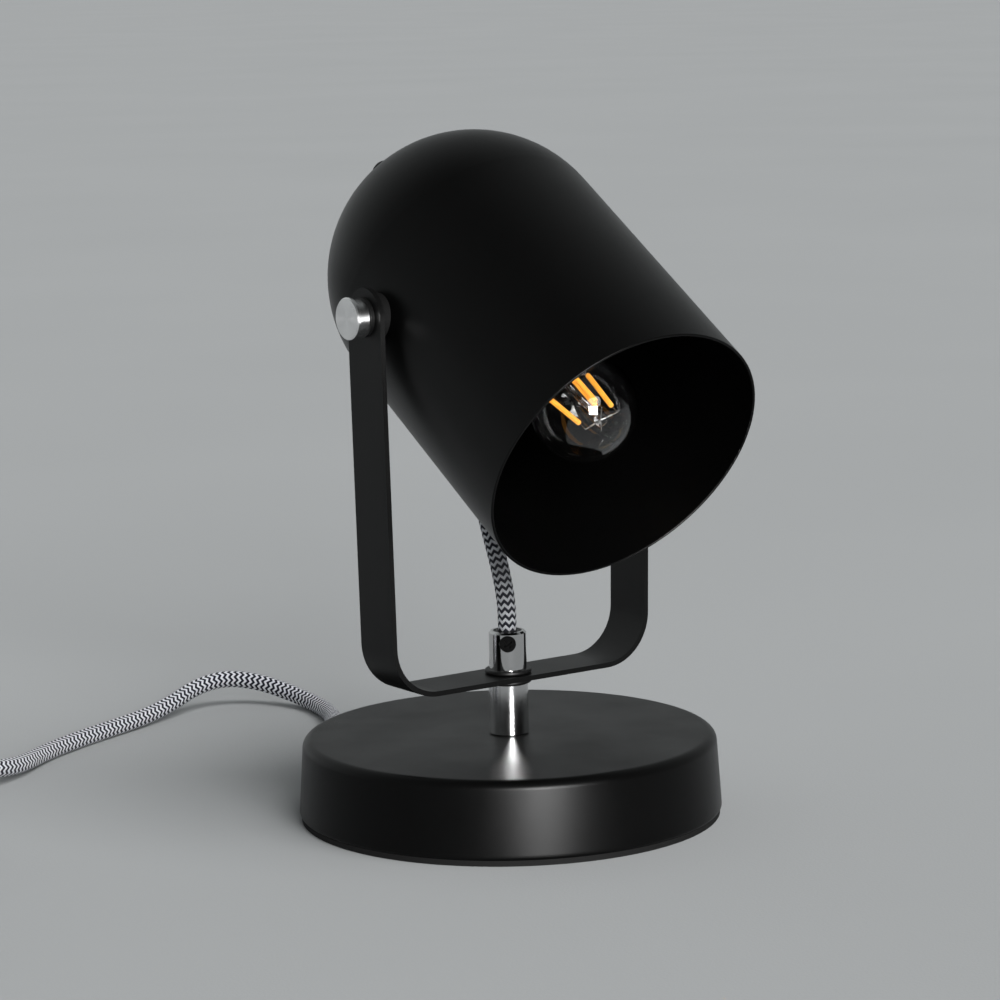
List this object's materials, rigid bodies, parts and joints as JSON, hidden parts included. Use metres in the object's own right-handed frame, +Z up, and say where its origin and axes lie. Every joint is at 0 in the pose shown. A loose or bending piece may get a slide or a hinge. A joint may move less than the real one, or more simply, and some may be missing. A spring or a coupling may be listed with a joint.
{
  "type": "tabletop searchlight lamp",
  "caption": "Table lamp with a domed tubular shade that tilts in a strap yoke, swivelling on a short post over a round weighted base, with a braided cord and in-line switch.",
  "frame": {"origin": "centre of the underside of the foot pad", "axes": "+Z up through the post; the shade looks along -Y and tilts about X; the mains cord leaves the base towards +Y"},
  "size_m": [0.3546, 0.3189, 0.2415],
  "materials": {
    "shade_black": "satin",
    "yoke_black": "satin",
    "base_black": "satin",
    "chrome": "polished",
    "steel": "satin",
    "iron": "matte",
    "rubber": "matte",
    "black_plastic": "matte",
    "gloss_black": "gloss",
    "cord_braid": "matte",
    "brass": "satin",
    "clear_glass": "gloss",
    "filament_amber": "matte",
    "insulator_black": "gloss",
    "black_steel": "satin"
  },
  "bodies": {
    "stand": {"base_cover": "base_black", "post": "chrome", "cord_grip": "chrome", "base_plate": "steel", "plate_screw_1": "steel", "plate_screw_2": "steel", "plate_screw_3": "steel", "nipple": "steel", "hex_nut": "steel", "clamp_screw_left": "steel", "clamp_screw_right": "steel", "cord_clamp": "steel", "plug_pin_left": "steel", "plug_pin_right": "steel", "base_weight": "iron", "foot_pad": "rubber", "lower_washer": "black_plastic", "upper_washer": "black_plastic", "grip_bush": "black_plastic", "cord_bush": "black_plastic", "switch_lower": "gloss_black", "switch_upper": "gloss_black", "plug_body": "gloss_black", "inner_lead": "cord_braid", "mains_cord": "cord_braid", "switch_cord": "cord_braid", "plug_cord": "cord_braid", "cord_coil": "cord_braid", "grub_screw": "black_steel"},
    "yoke": {"yoke": "yoke_black", "riser_cord": "cord_braid"},
    "head": {"shade": "shade_black", "shade_grommet": "rubber", "head_lead": "cord_braid", "pivot_spacer_left": "black_plastic", "pivot_spacer_right": "black_plastic", "pivot_nut_left": "steel", "pivot_nut_right": "steel", "holder_bracket": "steel", "bracket_rivet_left": "black_steel", "bracket_rivet_right": "black_steel", "holder_nipple": "steel", "holder_locknut": "steel", "lampholder": "black_plastic", "contact_sleeve": "brass", "bulb_glass": "clear_glass", "bulb_cap": "steel", "cap_insulator": "insulator_black", "cap_contact": "brass", "bulb_stem": "clear_glass", "bulb_wires": "steel", "filament_1": "filament_amber", "filament_2": "filament_amber", "filament_3": "filament_amber", "filament_4": "filament_amber"},
    "knob_left": {"knob_left": "chrome", "knob_washer_left": "black_plastic"},
    "knob_right": {"knob_right": "chrome", "knob_washer_right": "black_plastic"},
    "rocker": {"switch_rocker": "gloss_black"}
  },
  "joints": [
    {"name": "yoke_swivel", "type": "hinge", "parent": "stand", "child": "yoke", "pos_m": [0, 0, 0.05], "axis": [0, 0, 1], "range_deg": [-170, 170]},
    {"name": "head_tilt", "type": "hinge", "parent": "yoke", "child": "head", "pos_m": [0, 0, 0.1815], "axis": [1, 0, 0], "range_deg": [-50, 20], "deforming": ["riser_cord"]},
    {"name": "knob_left_turn", "type": "hinge", "parent": "head", "child": "knob_left", "pos_m": [-0.061, 0, 0.1815], "axis": [1, 0, 0], "range_deg": [0, 270]},
    {"name": "knob_right_turn", "type": "hinge", "parent": "head", "child": "knob_right", "pos_m": [0.061, 0, 0.1815], "axis": [1, 0, 0], "range_deg": [0, 270]},
    {"name": "switch_rock", "type": "hinge", "parent": "stand", "child": "rocker", "pos_m": [-0.181, 0.15, 0.0156], "axis": [0, 1, 0], "range_deg": [-14, 0]}
  ]
}
